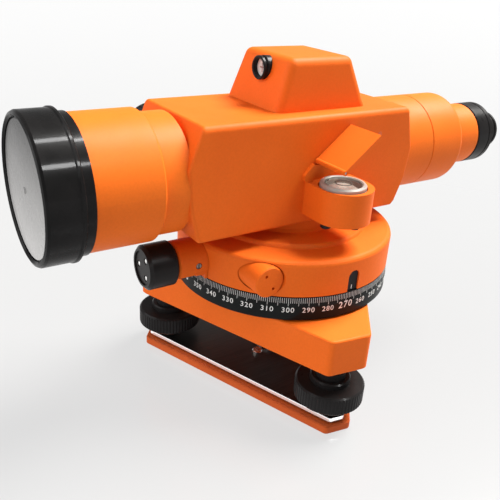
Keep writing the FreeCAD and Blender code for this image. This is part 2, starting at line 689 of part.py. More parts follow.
def make_cover():
    """Tapered hollow cover over the compensator."""
    body = new_body("compensator_cover", (0, 0, dim.housing_high))
    upright = FreeCAD.Rotation(Vector(1, 0, 0), 90)
    height = dim.cover_high - dim.housing_high
    # A wedge grows along its own Y, which stands up here; its own Z points forwards.
    solid_feature(body, "AdditiveWedge", (0, 0, 0), upright, Xmin=-27.6, Xmax=18.5, Ymin=0.0, Ymax=height,
                  Zmin=-32.0, Zmax=23.6, X2min=-23.0, X2max=17.4, Z2min=-20.0, Z2max=16.6)
    round_edges(body, 4.2, lambda edge: centre_of(edge).z > 1.0)
    wall = number(dim.cover_wall)
    solid_feature(body, "SubtractiveWedge", (0, 0, 0), upright, Xmin=-27.6 + wall, Xmax=18.5 - wall,
                  Ymin=0.0, Ymax=height - dim.cover_wall, Zmin=-32.0 + wall, Zmax=23.6 - wall,
                  X2min=-23.0 + wall, X2max=17.4 - wall, Z2min=-20.0 + wall, Z2max=16.6 - wall)
    drill(body, (dim.sight_tube_x, -26.0, dim.sight_tube_z - dim.housing_high), backward,
          dim.sight_tube_r, 16.0)
    drill(body, (dim.sight_tube_x, 14.0, dim.sight_tube_z - dim.housing_high), backward, 3.6, 12.0)


def make_optical_sight():
    at = (dim.sight_tube_x, 0, dim.sight_tube_z)
    radius = dim.sight_tube_r
    turned("sight_tube", [
        (4.3, 10.0), (radius, 10.0), (radius, 19.6), (radius - 1.0, 20.6), (radius, 21.2), (radius, 22.2),
        (radius - 0.4, 22.6), (4.7, 22.6), (4.3, 22.2)], at, forward)
    ring("sight_lens", 0.0, 4.3, 18.4, 20.0, at, forward)
    ring("sight_window", 0.0, 3.6, 19.2, 21.3, at, backward)


def make_compensator():
    x, y = dim.well_x, dim.well_y
    high = dim.housing_high
    hanger = new_body("compensator_hanger")
    add_block(hanger, (x - 16.4, y - 4, high), 32.8, 8.0, 10.6)
    cut_block(hanger, (x - 13, y - 5, high - 1), 26.0, 10.0, 8.3)
    frame = new_body("pendulum_frame")
    add_block(frame, (x - 10.5, y - 9, 128.0), 21.0, 18.0, 25.0)
    cut_block(frame, (x - 8, y - 10, 131.0), 16.0, 20.0, 18.5)
    add_block(frame, (x - 6, y - 0.2, 152.0), 12.0, 0.4, 4.95)
    prism = new_body("compensator_prism")
    outline = [(y - 8, 116.3), (y + 8, 116.3), (y + 8, 128.0), (y - 8, 128.0)]
    pad(prism, outline, 14.0, "YZ_Plane", midplane=True)
    round_edges(prism, 0.8, lambda edge: centre_of(edge).z < 117.0, "Chamfer")
    place(prism, (x, 0, 0))


def make_objective():
    turned("front_collar", [
        (dim.light_bore_r, dim.collar_seat), (dim.collar_r, dim.collar_seat),
        (dim.collar_r, dim.collar_front), (dim.light_bore_r, dim.collar_front)], on_sight_line, forward)
    rear, front = dim.collar_front, dim.barrel_front
    outer, inner = dim.barrel_r, dim.barrel_bore_r
    turned("objective_barrel", [
        (dim.light_bore_r, rear), (outer - 0.8, rear), (outer, rear + 0.8), (outer, front - 0.5),
        (outer - 0.5, front), (inner + 0.4, front), (inner, front - 0.4), (inner, rear + 3),
        (dim.light_bore_r, rear + 3)], on_sight_line, forward)
    turned("objective_cell", [
        (21.0, 107.0), (inner, 107.0), (inner, 126.0), (dim.lens_r, 126.0), (dim.lens_r, 110.0),
        (21.0, 110.0)], on_sight_line, forward)
    turned("flint_lens", [
        (0.0, 111.4), (dim.lens_r, 110.2), (dim.lens_r, 114.5), (0.0, 112.6)], on_sight_line, forward)
    turned("crown_lens", [
        (0.0, 112.8), (dim.lens_r, 114.7), (dim.lens_r, 118.4), (13.0, 120.9), (0.0, 121.8)],
        on_sight_line, forward)


def make_objective_cap():
    radius, front = dim.cap_r, dim.cap_front
    bore = dim.barrel_r + dim.running_gap
    turned("objective_cap", [
        (bore, dim.cap_lip), (dim.cap_lip_r, dim.cap_lip), (dim.cap_lip_r, dim.cap_step),
        (dim.cap_bead_r - 0.6, dim.cap_step), (dim.cap_bead_r, dim.cap_step + 0.5),
        (dim.cap_bead_r, dim.cap_step + 1.5), (radius, dim.cap_step + 2.1), (radius, front - 1.6),
        (radius - 0.6, front - 0.5), (radius - 1.7, front),
        (dim.cap_face_r + 0.9, front),
        (dim.cap_face_r, front - 0.9), (dim.cap_face_r, front - 1.7),
        (dim.cap_face_r - 0.7, front - 1.7),
        (dim.cap_face_r - 0.7, front - 1.2), (1.6, front - 1.2), (1.2, front - 0.7), (0.0, front - 0.7),
        (0.0, dim.barrel_front + 0.3), (bore, dim.barrel_front + 0.3)], on_sight_line, forward)


def make_rear_tube():
    turned("rear_barrel", [
        (dim.light_bore_r, dim.rear_seat), (dim.rear_r, dim.rear_seat), (dim.rear_r, dim.rear_seam - 0.5),
        (dim.rear_r - 0.3, dim.rear_seam - 0.2), (dim.light_bore_r, dim.rear_seam - 0.2)],
        on_sight_line, backward)
    shoulder = dim.rear_shoulder
    neck = dim.neck_r
    body = turned("eyepiece_housing", [
        (14.0, 100.0), (20.0, 96.0), (dim.light_bore_r, 92.0), (dim.light_bore_r, dim.rear_seam),
        (dim.rear_r - 0.3, dim.rear_seam), (dim.rear_r, dim.rear_seam + 0.3), (dim.rear_r, shoulder),
        (neck, shoulder), (neck, dim.neck_end - 0.5), (neck - 0.5, dim.neck_end), (14.0, dim.neck_end)],
        on_sight_line, backward)
    round_edges(body, 3.0, lambda edge: is_circle_at(edge, number(dim.rear_r), number(shoulder))
                or is_circle_at(edge, number(neck), number(shoulder)))


def make_eyepiece():
    ring("reticle", 0.0, 14.0, 111.0, 113.0, on_sight_line, backward)
    turned("ocular_sleeve", [
        (11.0, 119.0), (14.0, 119.0), (14.0, 139.8), (11.0, 139.8)], on_sight_line, backward)
    radius, start, end = dim.diopter_r, dim.neck_end + 0.3, dim.diopter_end
    turned("diopter_ring", [
        (14.05, start), (radius - 0.5, start), (radius, start + 0.5), (radius, end - 4.6),
        (radius - 0.4, end - 4.3), (radius - 0.4, end - 3.9), (radius, end - 3.6), (radius, end - 1.0),
        (radius - 1.0, end), (dim.ocular_r + 0.1, end), (dim.ocular_r + 0.1, 140.4), (14.05, 140.4)],
        on_sight_line, backward)
    outer, tip = dim.ocular_r, dim.ocular_end
    turned("ocular", [
        (8.5, 122.0), (10.95, 122.0), (10.95, 142.8), (outer - 0.4, 142.8), (outer, 143.2),
        (outer, tip - 4.0), (outer - 0.5, tip - 3.6), (outer - 0.5, tip - 3.0), (outer, tip - 2.6),
        (outer, tip - 1.2),
        (outer - 1.2, tip), (8.8, tip), (7.0, tip - 3.0), (7.0, tip - 5.5), (8.5, tip - 5.5)],
        on_sight_line, backward)
    turned("eye_lens", [
        (0.0, tip - 9.6), (8.5, tip - 8.8), (8.5, tip - 5.6), (0.0, tip - 5.6)], on_sight_line, backward)


def make_focus():
    at = (0, dim.focus_y, dim.focus_z)
    outward = (-1, 0, 0)
    radius = dim.focus_knob_r
    bore = 4.0 + dim.running_gap
    wall, start, end = dim.housing_far, dim.housing_far + 3.4, dim.housing_far + 19.4
    turned("focus_bush", [
        (bore, 16.0), (6.0, 16.0), (6.0, wall), (10.5, wall), (10.5, wall + 3.0), (bore, wall + 3.0)],
        at, outward)
    knob = turned("focus_knob", [
        (4.0, start), (radius - 0.8, start), (radius, start + 0.8), (radius, end - 1.6),
        (radius - 1.6, end), (radius - 3.2, end), (radius - 3.2, end - 0.8), (4.0, end - 0.8)],
        at, outward)
    knurl(knob, radius + 0.5, start + 2, 0.8, 11.0, FOCUS_KNURLS)
    teeth_r = dim.focus_pinion_r
    turned("focus_shaft", [
        (0.0, 10.4), (teeth_r, 10.4), (teeth_r, 14.2), (4.0, 14.2), (4.0, end - 0.8), (0.0, end - 0.8)],
        at, outward)
    carriage = turned("focus_carriage", [
        (11.0, 28.0), (14.0, 28.0), (14.0, 40.0), (11.0, 40.0)], on_sight_line, forward)
    # In the carriage's own frame Z points forwards and Y up; the rack bar lies under the focus pinion.
    rack_top = dim.focus_z - dim.focus_pinion_r - 0.2 - dim.sight_height
    add_block(carriage, (-14.2, rack_top - 4.6, 28.0), 3.0, 4.6, 40.0)
    turned("focus_lens", [
        (0.0, 33.2), (11.0, 31.4), (11.0, 36.6), (0.0, 34.8)], on_sight_line, forward)


# ---- vial and its mirror ----

def make_vial():
    x, y = dim.vial_x, dim.vial_y
    body = new_body("vial_housing")
    radius, low = dim.vial_housing_r, dim.vial_low
    end_x, end_y, wall_x = dim.vial_housing_x, dim.vial_housing_y, dim.housing_half
    height = dim.vial_rim - low
    add_block(body, (wall_x, end_y - radius, low), end_x - wall_x, radius * 2, height)
    boss(body, (end_x, end_y, low), (0, 0, 1), radius, height)
    cut_block(body, (wall_x - 5, end_y - radius, low - 1), 5.0, radius * 2, height + 2)
    drill(body, (x, y, dim.vial_floor), (0, 0, 1), dim.vial_pocket_r, 20.0)
    for degrees in (30, 150, 270):
        spot = polar(dim.vial_screw_circle, degrees, 100.0)
        drill(body, (x + spot[0], y + spot[1], 100.0), (0, 0, 1), 1.6, 8.0)
    case_r, top = dim.vial_case_r, dim.vial_case_high
    glass_r = dim.vial_glass_r
    case = turned("vial_case", [
        (0.0, dim.vial_floor + 0.6), (case_r, dim.vial_floor + 0.6), (case_r, top - 0.7),
        (case_r - 0.7, top), (glass_r + 0.5, top), (glass_r, top - 0.5), (glass_r, 110.0), (0.0, 110.0)],
        (x, y, 0))
    turned("vial_glass", [
        (0.0, 117.0), (glass_r, 117.0), (glass_r, top - 0.8), (glass_r * 0.6, top - 0.35),
        (0.0, top - 0.2)], (x, y, 0))
    screws = []
    for name, degrees in (("a", 30), ("b", 150), ("c", 270)):
        spot = polar(dim.vial_screw_circle, degrees, 0)
        at = (x + spot[0], y + spot[1], 0)
        drill(case, (spot[0], spot[1], 100.0), (0, 0, 1), 1.6, 8.0)
        screw = turned("vial_screw_" + name, [
            (0.0, 98.6), (2.2, 98.6), (2.7, 99.1), (2.7, low), (1.6, low), (1.6, 107.8), (0.0, 107.8)],
            at)
        cut_block(screw, (-3.0, -0.4, 98.0), 6.0, 0.8, 1.5)
        screws.append(screw)
    joined("vial_screws", screws)


def make_mirror():
    pivot = (0, dim.flap_pivot_y, dim.flap_pivot_z)
    slope = FreeCAD.Rotation(Vector(1, 0, 0), FLAP_SLOPE)
    half = dim.flap_thick / 2
    bracket = new_body("mirror_bracket", (dim.housing_half, 0, 0))
    outline = [(-11.4, dim.vial_rim), (-13.4, 119.6), (-13.4, 122.0), (-8.4, 127.5), (-7.6, 126.8),
               (-4.6, 126.7), (-7.0, 124.4), (-8.4, dim.vial_rim)]
    pad(bracket, outline, 2.2, "YZ_Plane")
    ring("flap_pin", 0.0, dim.flap_pin_r, dim.housing_half - dim.flap_pin_seat, dim.flap_outer_x - 0.3,
         pivot, (1, 0, 0))
    flap = new_body("mirror_flap", pivot, slope)
    inner, outer = dim.flap_inner_x, dim.flap_outer_x
    add_block(flap, (inner, 0.0, -half), outer - inner, dim.flap_long, dim.flap_thick)
    boss(flap, (inner, 0, 0), (1, 0, 0), half + 0.35, outer - inner)
    drill(flap, (dim.housing_half, 0, 0), (1, 0, 0), dim.flap_pin_r + dim.running_gap, 30.0)
    mirror = new_body("mirror_glass", pivot, slope)
    add_block(mirror, (dim.housing_half + 2.6, 3.6, -half - 0.9), 17.6, 19.6, 0.9)


def check_model():
    """Stop if any object failed or any sub-part has no valid shape."""
    for item in document.Objects:
        if "Invalid" in item.State or "Error" in item.State:
            raise RuntimeError("%s (%s) failed: %s" % (item.Name, item.Label, item.State))
    for item in sub_parts:
        if item.Shape.isNull() or not item.Shape.isValid():
            raise RuntimeError("%s has no valid shape" % item.Label)


def export_parts():
    os.makedirs("parts", exist_ok=True)
    for item in sub_parts:
        item.Shape.exportStep("parts/%s.step" % item.Label)
        box = item.Shape.BoundBox
        print("%-20s solids %d volume %9.1f  x %7.2f %7.2f  y %7.2f %7.2f  z %7.2f %7.2f" % (
            item.Label, len(item.Shape.Solids), item.Shape.Volume, box.XMin, box.XMax,
            box.YMin, box.YMax, box.ZMin, box.ZMax))


make_base_plate()
make_thread_bush()
make_spring_plate()
make_plate_screws()
make_foot_screws()
make_tribrach()
make_tribrach_fittings()
make_graduated_circle()
make_drum()
make_axle()
make_reading_window()
make_motion_drive()
make_drag_parts()
make_platform()
make_main_housing()
make_cover()
make_optical_sight()
make_compensator()
make_objective()
make_objective_cap()
make_rear_tube()
make_eyepiece()
make_focus()
make_vial()
make_mirror()
document.recompute()
check_model()
export_parts()
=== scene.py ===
import json
import math

import bpy
from mathutils import Matrix, Vector


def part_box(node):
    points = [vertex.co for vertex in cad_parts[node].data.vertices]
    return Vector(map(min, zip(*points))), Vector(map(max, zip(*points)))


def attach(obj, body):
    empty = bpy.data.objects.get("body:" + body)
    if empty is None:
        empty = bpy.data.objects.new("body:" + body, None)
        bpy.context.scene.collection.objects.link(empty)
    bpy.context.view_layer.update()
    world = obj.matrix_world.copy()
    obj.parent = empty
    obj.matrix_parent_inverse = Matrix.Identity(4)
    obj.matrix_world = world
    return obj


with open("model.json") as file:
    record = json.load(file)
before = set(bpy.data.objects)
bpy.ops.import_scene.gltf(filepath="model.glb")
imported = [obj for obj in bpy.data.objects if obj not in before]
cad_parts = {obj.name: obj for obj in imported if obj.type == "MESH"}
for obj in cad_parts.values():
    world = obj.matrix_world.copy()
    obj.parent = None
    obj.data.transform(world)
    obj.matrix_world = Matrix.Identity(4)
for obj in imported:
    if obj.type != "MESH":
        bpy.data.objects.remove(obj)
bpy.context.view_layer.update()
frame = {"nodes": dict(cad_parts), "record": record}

# Looks of an automatic level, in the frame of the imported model: +Z up, the line of sight along -Y,
# the circular vial towards +X. Lengths are in metres, written as millimetres times MM.

nodes = frame["nodes"]
MM = 0.001


# ---- shader building blocks ----

def rgba(colour, share=1.0, lift=0.0):
    """Opaque colour: a share of the given one, with a small lift."""
    return (*[part * share + lift for part in colour], 1.0)


class Shader:
    """A Principled material whose patterns sit in the object's own coordinates."""

    def __init__(self, name):
        self.material = bpy.data.materials.new(name)
        self.material.use_nodes = True
        self.tree = self.material.node_tree
        self.surface = self.tree.nodes["Principled BSDF"]
        self.place = self.node("TexCoord").outputs["Object"]

    def link(self, value, socket):
        """Join an input to another node's output, or give it a fixed value."""
        if isinstance(value, bpy.types.NodeSocket):
            self.tree.links.new(value, socket)
        else:
            socket.default_value = value

    def node(self, kind, inputs=None, **settings):
        """New node with these settings, and with these inputs by name or number."""
        made = self.tree.nodes.new("ShaderNode" + kind)
        for name, value in settings.items():
            setattr(made, name, value)
        for key, value in (inputs or {}).items():
            self.link(value, made.inputs[key])
        return made

    def set(self, **values):
        """Set inputs of the Principled node, with _ for each space of their names."""
        for name, value in values.items():
            self.link(value, self.surface.inputs[name.replace("_", " ")])

    def moved(self, centre=(0, 0, 0), scale=(1, 1, 1)):
        """The object's coordinates about a centre, stretched along the axes."""
        shift = self.node("VectorMath", {0: self.place, 1: centre}, operation="SUBTRACT")
        stretch = self.node("VectorMath", {0: shift.outputs[0], 1: scale}, operation="MULTIPLY")
        return stretch.outputs[0]

    def noise(self, per_metre, detail=2.0, where=None):
        inputs = {"Scale": per_metre, "Detail": detail, "Vector": where or self.place}
        return self.node("TexNoise", inputs).outputs["Fac"]

    def cells(self, per_metre):
        inputs = {"Scale": per_metre, "Vector": self.place}
        return self.node("TexVoronoi", inputs).outputs["Distance"]

    def spread(self, value, low, high, start=0.3, end=0.7):
        """Map the stretch of a pattern from start to end to the values from low to high."""
        inputs = {"From Min": start, "From Max": end, "To Min": low, "To Max": high, "Value": value}
        return self.node("MapRange", inputs).outputs["Result"]

    def blend(self, factor, first, second):
        inputs = {"Factor": factor, "A": first, "B": second}
        return self.node("Mix", inputs, data_type="RGBA").outputs["Result"]

    def math(self, kind, first, second=0.0):
        return self.node("Math", {0: first, 1: second}, operation=kind).outputs[0]

    def length(self, vector):
        return self.node("VectorMath", {0: vector}, operation="LENGTH").outputs["Value"]

    def axis(self, letter, source=None):
        return self.node("SeparateXYZ", {0: source or self.place}).outputs[letter]

    def facing_up(self):
        """1 on surfaces that face nearly straight up or down, 0 on the others."""
        normal = self.node("NewGeometry").outputs["True Normal"]
        upright = self.math("ABSOLUTE", self.axis("Z", normal))
        return self.math("GREATER_THAN", upright, 0.8)

    def bump(self, height, strength, depth_mm, below=None):
        """Surface normal of a relief, laid over another one if below is given."""
        inputs = {"Strength": strength, "Distance": depth_mm * MM, "Height": height}
        if below is not None:
            inputs["Normal"] = below
        return self.node("Bump", inputs).outputs["Normal"]


# ---- kinds of finish ----

def paint(name, colour, shade, roughness, grain, coat):
    """Orange paint: patchy in the large, with a fine powder-coat grain in the small."""
    s = Shader(name)
    patches = s.spread(s.noise(22.0, detail=3.0), 0.0, 1.0)
    specks = s.spread(s.noise(900.0, detail=1.0), 0.0, 0.16, start=0.35, end=0.75)
    body = s.blend(patches, rgba(colour), rgba(shade))
    s.set(Base_Color=s.blend(specks, body, rgba(shade, 0.72)))
    s.set(Roughness=s.spread(s.noise(60.0, detail=4.0), roughness - 0.04, roughness + 0.05))
    s.set(Coat_Weight=coat, Coat_Roughness=0.3, Specular_IOR_Level=0.10)
    coarse = s.bump(s.noise(1300.0), grain, depth_mm=0.05)
    s.set(Normal=s.bump(s.cells(2600.0), grain * 0.5, depth_mm=0.03, below=coarse))
    return s.material


def black(name, colour, roughness, grain, coat=0.0, shine=0.09):
    """Black plastic, anodising or paint, with slightly paler patches."""
    s = Shader(name)
    patches = s.spread(s.noise(45.0, detail=3.0), 0.0, 1.0)
    s.set(Base_Color=s.blend(patches, rgba(colour), rgba(colour, 1.5, lift=0.002)))
    s.set(Roughness=s.spread(s.noise(110.0, detail=4.0), roughness - 0.05, roughness + 0.07))
    s.set(Coat_Weight=coat, Coat_Roughness=0.12, Specular_IOR_Level=shine)
    s.set(Normal=s.bump(s.noise(2200.0), grain, depth_mm=0.02))
    return s.material


def cap_black(name, face_front, face_r, axis_z):
    """Glossy black whose recessed front face is a satin grey with a painted reflection, paler towards
    the bottom.
    """
    s = Shader(name)
    from_axis = s.length(s.moved((0, 0, axis_z), (1, 0, 1)))
    inside = s.math("LESS_THAN", from_axis, face_r)
    on_face = s.math("MULTIPLY", inside, s.math("LESS_THAN", s.axis("Y"), face_front))
    patches = s.spread(s.noise(60.0, detail=4.0), 0.0, 1.0)
    rim = s.blend(patches, rgba((0.006, 0.006, 0.006)), rgba((0.012, 0.011, 0.011)))
    # The face's grey runs from dark at the top to pale at the bottom: a painted reflection of the
    # bright floor in front of it.
    fall = s.spread(s.axis("Z"), 1.0, 0.0, start=axis_z - face_r, end=axis_z + face_r)
    tone = s.math("ADD", fall, s.spread(s.noise(35.0), -0.06, 0.06))
    painted_reflection_face = s.blend(tone, rgba((0.052, 0.050, 0.050)), rgba((0.50, 0.49, 0.48)))
    s.set(Base_Color=s.blend(on_face, rim, painted_reflection_face), Specular_IOR_Level=0.04)
    s.set(Roughness=s.spread(s.noise(140.0, detail=4.0), 0.22, 0.32))
    s.set(Coat_Weight=0.10, Coat_Roughness=0.09)
    s.set(Normal=s.bump(s.noise(2000.0), 0.08, depth_mm=0.02))
    return s.material


def edged(name):
    """Blackened spring steel with bright bare edges, whose glow is a painted reflection."""
    s = Shader(name)
    marks = s.noise(2200.0, detail=3.0, where=s.moved(scale=(1, 0.03, 1)))
    flat = s.facing_up()
    dark = s.blend(marks, rgba((0.040, 0.036, 0.033)), rgba((0.120, 0.106, 0.098)))
    bare = s.blend(marks, rgba((0.94, 0.94, 0.94)), rgba((1.0, 1.0, 1.0)))
    s.set(Base_Color=s.blend(flat, bare, dark), Metallic=1.0)
    # The edge's glow is painted light: a painted reflection of the lit studio that the edge mirrors.
    painted_glow_edge = s.math("SUBTRACT", 1.0, flat)
    s.set(Emission_Color=rgba((0.95, 0.95, 0.95)), Emission_Strength=s.math("MULTIPLY", painted_glow_edge, 0.4))
    duller = s.math("MULTIPLY", flat, 0.2)
    s.set(Roughness=s.math("ADD", duller, s.spread(marks, 0.13, 0.22)))
    s.set(Normal=s.bump(marks, 0.1, depth_mm=0.02))
    return s.material


def metal(name, colour, roughness, stretch=(1, 1, 1), per_metre=700.0, grain=0.2):
    """Metal with fine tool marks, drawn out along the axes where stretch is small."""
    s = Shader(name)
    marks = s.noise(per_metre, detail=3.0, where=s.moved(scale=stretch))
    tone = s.spread(marks, 0.0, 1.0)
    s.set(Base_Color=s.blend(tone, rgba(colour, 0.86), rgba(colour)), Metallic=1.0)
    s.set(Roughness=s.spread(marks, roughness - 0.06, roughness + 0.08))
    s.set(Normal=s.bump(marks, grain, depth_mm=0.03))
    return s.material


def satin(name, colour, roughness):
    """Bead-blasted light metal."""
    s = Shader(name)
    grains = s.noise(1800.0)
    s.set(Base_Color=s.blend(grains, rgba(colour, 0.88), rgba(colour)), Metallic=0.25)
    s.set(Roughness=s.spread(grains, roughness - 0.05, roughness + 0.07))
    s.set(Normal=s.bump(grains, 0.12, depth_mm=0.02))
    return s.material


def threaded(name, colour, from_z, pitch):
    """Turned steel whose upper part carries a fine thread."""
    s = Shader(name)
    height = s.axis("Z")
    ridges = s.math("MULTIPLY", s.math("PINGPONG", height, pitch / 2), 2 / pitch)
    profile = s.math("MULTIPLY", ridges, s.math("GREATER_THAN", height, from_z))
    # Darker towards the roots of the thread, as painted shade in its grooves. Below the thread, the
    # shank takes this darker colour all over.
    s.set(Base_Color=s.blend(profile, rgba(colour, 0.6), rgba(colour)), Metallic=1.0)
    s.set(Roughness=s.spread(s.noise(1500.0), 0.2, 0.36))
    s.set(Normal=s.bump(profile, 0.9, depth_mm=pitch / MM / 2))
    return s.material


def glass(name, tint, roughness=0.03, coat=0.4, index=1.5):
    """Clear glass with faint smears."""
    s = Shader(name)
    smears = s.noise(140.0, detail=3.0)
    s.set(Base_Color=s.blend(smears, rgba(tint), rgba(tint, 0.94)))
    s.set(Transmission_Weight=1.0, IOR=index, Coat_Weight=coat)
    s.set(Roughness=s.spread(smears, roughness, roughness + 0.04))
    return s.material


def silvered(name):
    """Mirror with faint smears."""
    s = Shader(name)
    smears = s.noise(160.0, detail=4.0)
    s.set(Base_Color=s.blend(smears, rgba((0.9, 0.92, 0.92)), rgba((0.8, 0.83, 0.83))), Metallic=1.0)
    s.set(Roughness=s.spread(smears, 0.02, 0.08))
    return s.material


def enamel(name, colour, roughness, painted_glow=0.0):
    """Slightly uneven filled paint. A little glow is painted light, as of light gathering in a liquid.
    """
    s = Shader(name)
    wear = s.spread(s.noise(1600.0), 0.0, 1.0)
    s.set(Base_Color=s.blend(wear, rgba(colour), rgba(colour, 0.8)), Roughness=roughness)
    s.set(Normal=s.bump(s.noise(3000.0, detail=1.0), 0.3, depth_mm=0.01))
    s.set(Emission_Color=rgba(colour), Emission_Strength=painted_glow)
    return s.material


# ---- the object's finishes ----

ORANGE, ORANGE_SHADE = (0.80, 0.140, 0.012), (0.74, 0.120, 0.009)
BRIGHT_ORANGE, BRIGHT_SHADE = (0.84, 0.165, 0.014), (0.78, 0.142, 0.011)
PLATE_ORANGE, PLATE_SHADE = (0.58, 0.100, 0.018), (0.50, 0.082, 0.015)
STEEL = (0.52, 0.52, 0.53)
ALONG_Z = (1, 1, 0.05)     # stretch of tool marks that run up and down
SIGHT_LINE = 122.3 * MM    # height of the telescope's axis
CAP_FACE_FRONT = -134.6 * MM    # what lies in front of it within the radius is the cap's face
CAP_FACE_R = 29.2 * MM
THREAD_START = 33.2 * MM
THREAD_PITCH = 0.8 * MM

looks = {
    "orange_casting": paint("orange_casting_look", ORANGE, ORANGE_SHADE,
                            roughness=0.54, grain=0.22, coat=0.01),
    "orange_barrel": paint("orange_barrel_look", BRIGHT_ORANGE, BRIGHT_SHADE,
                           roughness=0.48, grain=0.08, coat=0.02),
    "black_plastic": black("black_plastic_look", (0.010, 0.009, 0.009),
                           roughness=0.32, grain=0.15, coat=0.04),
    "cap_plastic": cap_black("cap_plastic_look", CAP_FACE_FRONT, CAP_FACE_R, SIGHT_LINE),
    "circle_black": black("circle_black_look", (0.006, 0.007, 0.007),
                          roughness=0.34, grain=0.12, coat=0.12, shine=0.03),
    "black_anodised": black("black_anodised_look", (0.018, 0.018, 0.020), roughness=0.5, grain=0.2),
    "window_black": black("window_black_look", (0.014, 0.014, 0.015), roughness=0.42, grain=0.2),
    "spring_steel": edged("spring_steel_look"),
    "steel": metal("steel_look", STEEL, roughness=0.3, stretch=ALONG_Z),
    "bright_screw": metal("bright_screw_look", (0.80, 0.79, 0.77),
                          roughness=0.2, per_metre=1200.0, grain=0.1),
    "brass": metal("brass_look", (0.72, 0.50, 0.20), roughness=0.28, stretch=ALONG_Z),
    "vial_metal": satin("vial_metal_look", (0.40, 0.375, 0.34), roughness=0.36),
    "lens_glass": glass("lens_glass_look", (0.90, 0.96, 0.94)),
    "mirror": silvered("mirror_look"),
}
engraving = enamel("engraving_look", (0.82, 0.82, 0.80), roughness=0.5)
fine_engraving = enamel("fine_engraving_look", (0.62, 0.62, 0.61), roughness=0.5)
# Black for the vial's screws, which also paints the deep shade that lies under the vial housing.
black_screw_and_shade = black("black_screw_and_shade_look", (0.012, 0.011, 0.011), roughness=0.35, grain=0.2, coat=0.1)
dark_steel = metal("dark_steel_look", (0.24, 0.22, 0.21), roughness=0.28, per_metre=1500.0, grain=0.15)
vial_window = glass("vial_window_look", (0.97, 0.97, 0.95), roughness=0.02, coat=0.0, index=1.16)
frosted = enamel("frosted_lens_look", (0.62, 0.62, 0.60), roughness=0.15)
reticle_ink = enamel("reticle_ink_look", (0.20, 0.10, 0.09), roughness=0.4)
vial_liquid = enamel("vial_liquid_look", (0.50, 0.50, 0.45), roughness=0.3, painted_glow=0.28)
vial_bubble = enamel("vial_bubble_look", (0.90, 0.88, 0.80), roughness=0.25, painted_glow=0.3)
vial_ink = enamel("vial_ink_look", (0.05, 0.04, 0.03), roughness=0.4)
filled_orange = enamel("filled_screw_look", (0.70, 0.115, 0.014), roughness=0.5)
plate_look = paint("base_plate_look", PLATE_ORANGE, PLATE_SHADE, roughness=0.55, grain=0.15, coat=0.0)
shank_look = threaded("foot_shank_look", STEEL, THREAD_START, THREAD_PITCH)


def dress(item, look):
    """Give every material slot of an object one look."""
    for place in item.material_slots:
        place.material = look


for node in frame["record"]["subparts"]:
    dress(nodes[node["node"]], looks[node["material_slot"]])
for name in ("foot_shank_a", "foot_shank_b", "foot_shank_c"):
    dress(nodes[name], shank_look)
# The vial's screws are black, partly as painted shade under the vial housing.
dress(nodes["vial_screws"], black_screw_and_shade)
dress(nodes["boss_set_screw"], dark_steel)
dress(nodes["sight_lens"], frosted)
dress(nodes["vial_glass"], vial_window)
dress(nodes["base_plate"], plate_look)


# ---- geometry building blocks ----

def add_object(name, data):
    """New object of the scene, made of this data."""
    item = bpy.data.objects.new(name, data)
    bpy.context.scene.collection.objects.link(item)
    return item


def new_piece(name, vertices, faces, look, body, smooth=False):
    """A mesh piece that rides on a body, with the given look in its one material slot."""
    mesh = bpy.data.meshes.new(name)
    mesh.from_pydata(vertices, [], faces)
    mesh.validate()
    mesh.materials.append(look)
    if smooth:
        mesh.shade_smooth()
    else:
        mesh.shade_flat()
    piece = add_object(name, mesh)
    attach(piece, body)


def disc_vertices(centre, across, up, radius, count):
    """Points of a circle in the plane of two unit directions."""
    points = []
    for index in range(count):
        angle = 2 * math.pi * index / count
        spot = Vector(centre) + Vector(across) * radius * math.cos(angle)
        points.append(spot + Vector(up) * radius * math.sin(angle))
    return points


def add_dome(name, centre, axis, across, radius, height, look, body):
    """Closed shallow dome on a flat back. Its axis points out of it."""
    outward, side = Vector(axis), Vector(across)
    up = outward.cross(side)
    rings, count = 6, 48
    vertices = []
    for step in range(rings):
        tilt = math.pi / 2 * step / rings
        middle = Vector(centre) + outward * height * math.sin(tilt)
        vertices += disc_vertices(middle, side, up, radius * math.cos(tilt), count)
    vertices.append(Vector(centre) + outward * height)
    top = len(vertices) - 1
    faces = [tuple(reversed(range(count)))]
    for step in range(rings - 1):
        for index in range(count):
            after = (index + 1) % count
            low, high = step * count, (step + 1) * count
            faces.append((low + index, low + after, high + after, high + index))
    last = (rings - 1) * count
    faces += [(last + index, last + (index + 1) % count, top) for index in range(count)]
    new_piece(name, vertices, faces, look, body, smooth=True)


def add_band(name, centre, inner, outer, low, high, look, body):
    """Flat level ring."""
    count = 64
    across, up = (1, 0, 0), (0, 1, 0)
    vertices = []
    for radius, z in ((inner, low), (outer, low), (outer, high), (inner, high)):
        vertices += disc_vertices((centre[0], centre[1], z), across, up, radius, count)
    faces = []
    for corner in range(4):
        here, there = corner * count, (corner + 1) % 4 * count
        for index in range(count):
            after = (index + 1) % count
            faces.append((here + index, here + after, there + after, there + index))
    new_piece(name, vertices, faces, look, body)


def add_bar(name, low, high, look, body):
    """Straight bar between two opposite corners."""
    corners = [(x, y, z) for x in (low[0], high[0]) for y in (low[1], high[1])
               for z in (low[2], high[2])]
    faces = [(0, 1, 3, 2), (4, 6, 7, 5), (0, 4, 5, 1), (2, 3, 7, 6), (0, 2, 6, 4), (1, 5, 7, 3)]
    new_piece(name, corners, faces, look, body)


# ---- graduated circle ----

